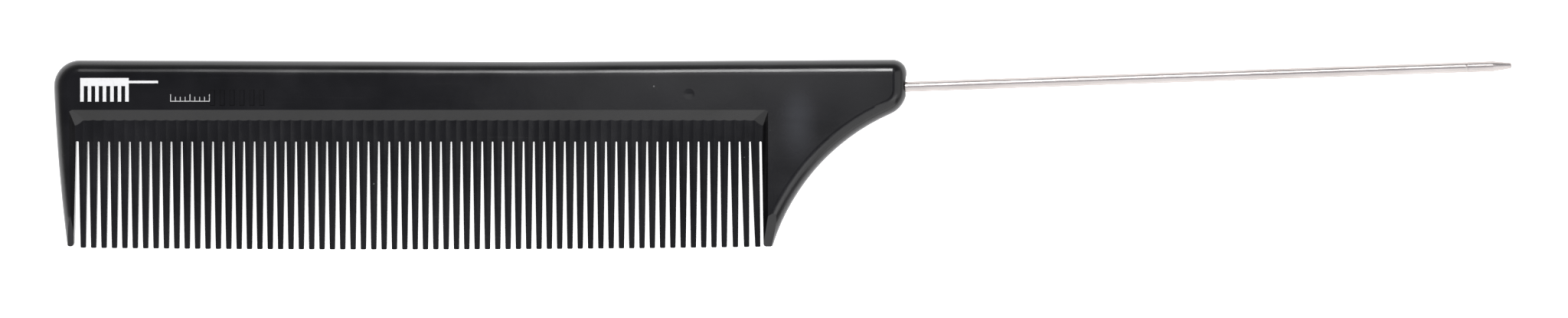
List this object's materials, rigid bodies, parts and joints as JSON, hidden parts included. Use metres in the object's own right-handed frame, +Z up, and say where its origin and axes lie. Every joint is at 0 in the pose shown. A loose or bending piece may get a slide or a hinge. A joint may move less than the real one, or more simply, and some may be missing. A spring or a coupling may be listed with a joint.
{
  "type": "rat tail comb",
  "caption": "Flat fine-tooth hair comb with a thin round steel wire tail, for parting, sectioning and combing hair.",
  "frame": {"origin": "middle of the outer box in X and Y, on the face the comb lies on", "axes": "+X along the spine towards the tip of the wire tail, +Y from the tooth tips towards the spine, +Z up, out of the printed face"},
  "size_m": [0.2288, 0.0298, 0.0048],
  "materials": {
    "moulding": "moulded black plastic, satin-gloss faces, polished rim",
    "wire": "drawn and polished stainless wire",
    "white_ink": "white pad-printed ink",
    "grey_ink": "thin light grey pad-printed ink"
  },
  "bodies": {
    "root": {"comb_body": "moulding", "tail_pin": "wire", "printed_emblem": "white_ink", "printed_scale": "grey_ink"}
  },
  "joints": []
}
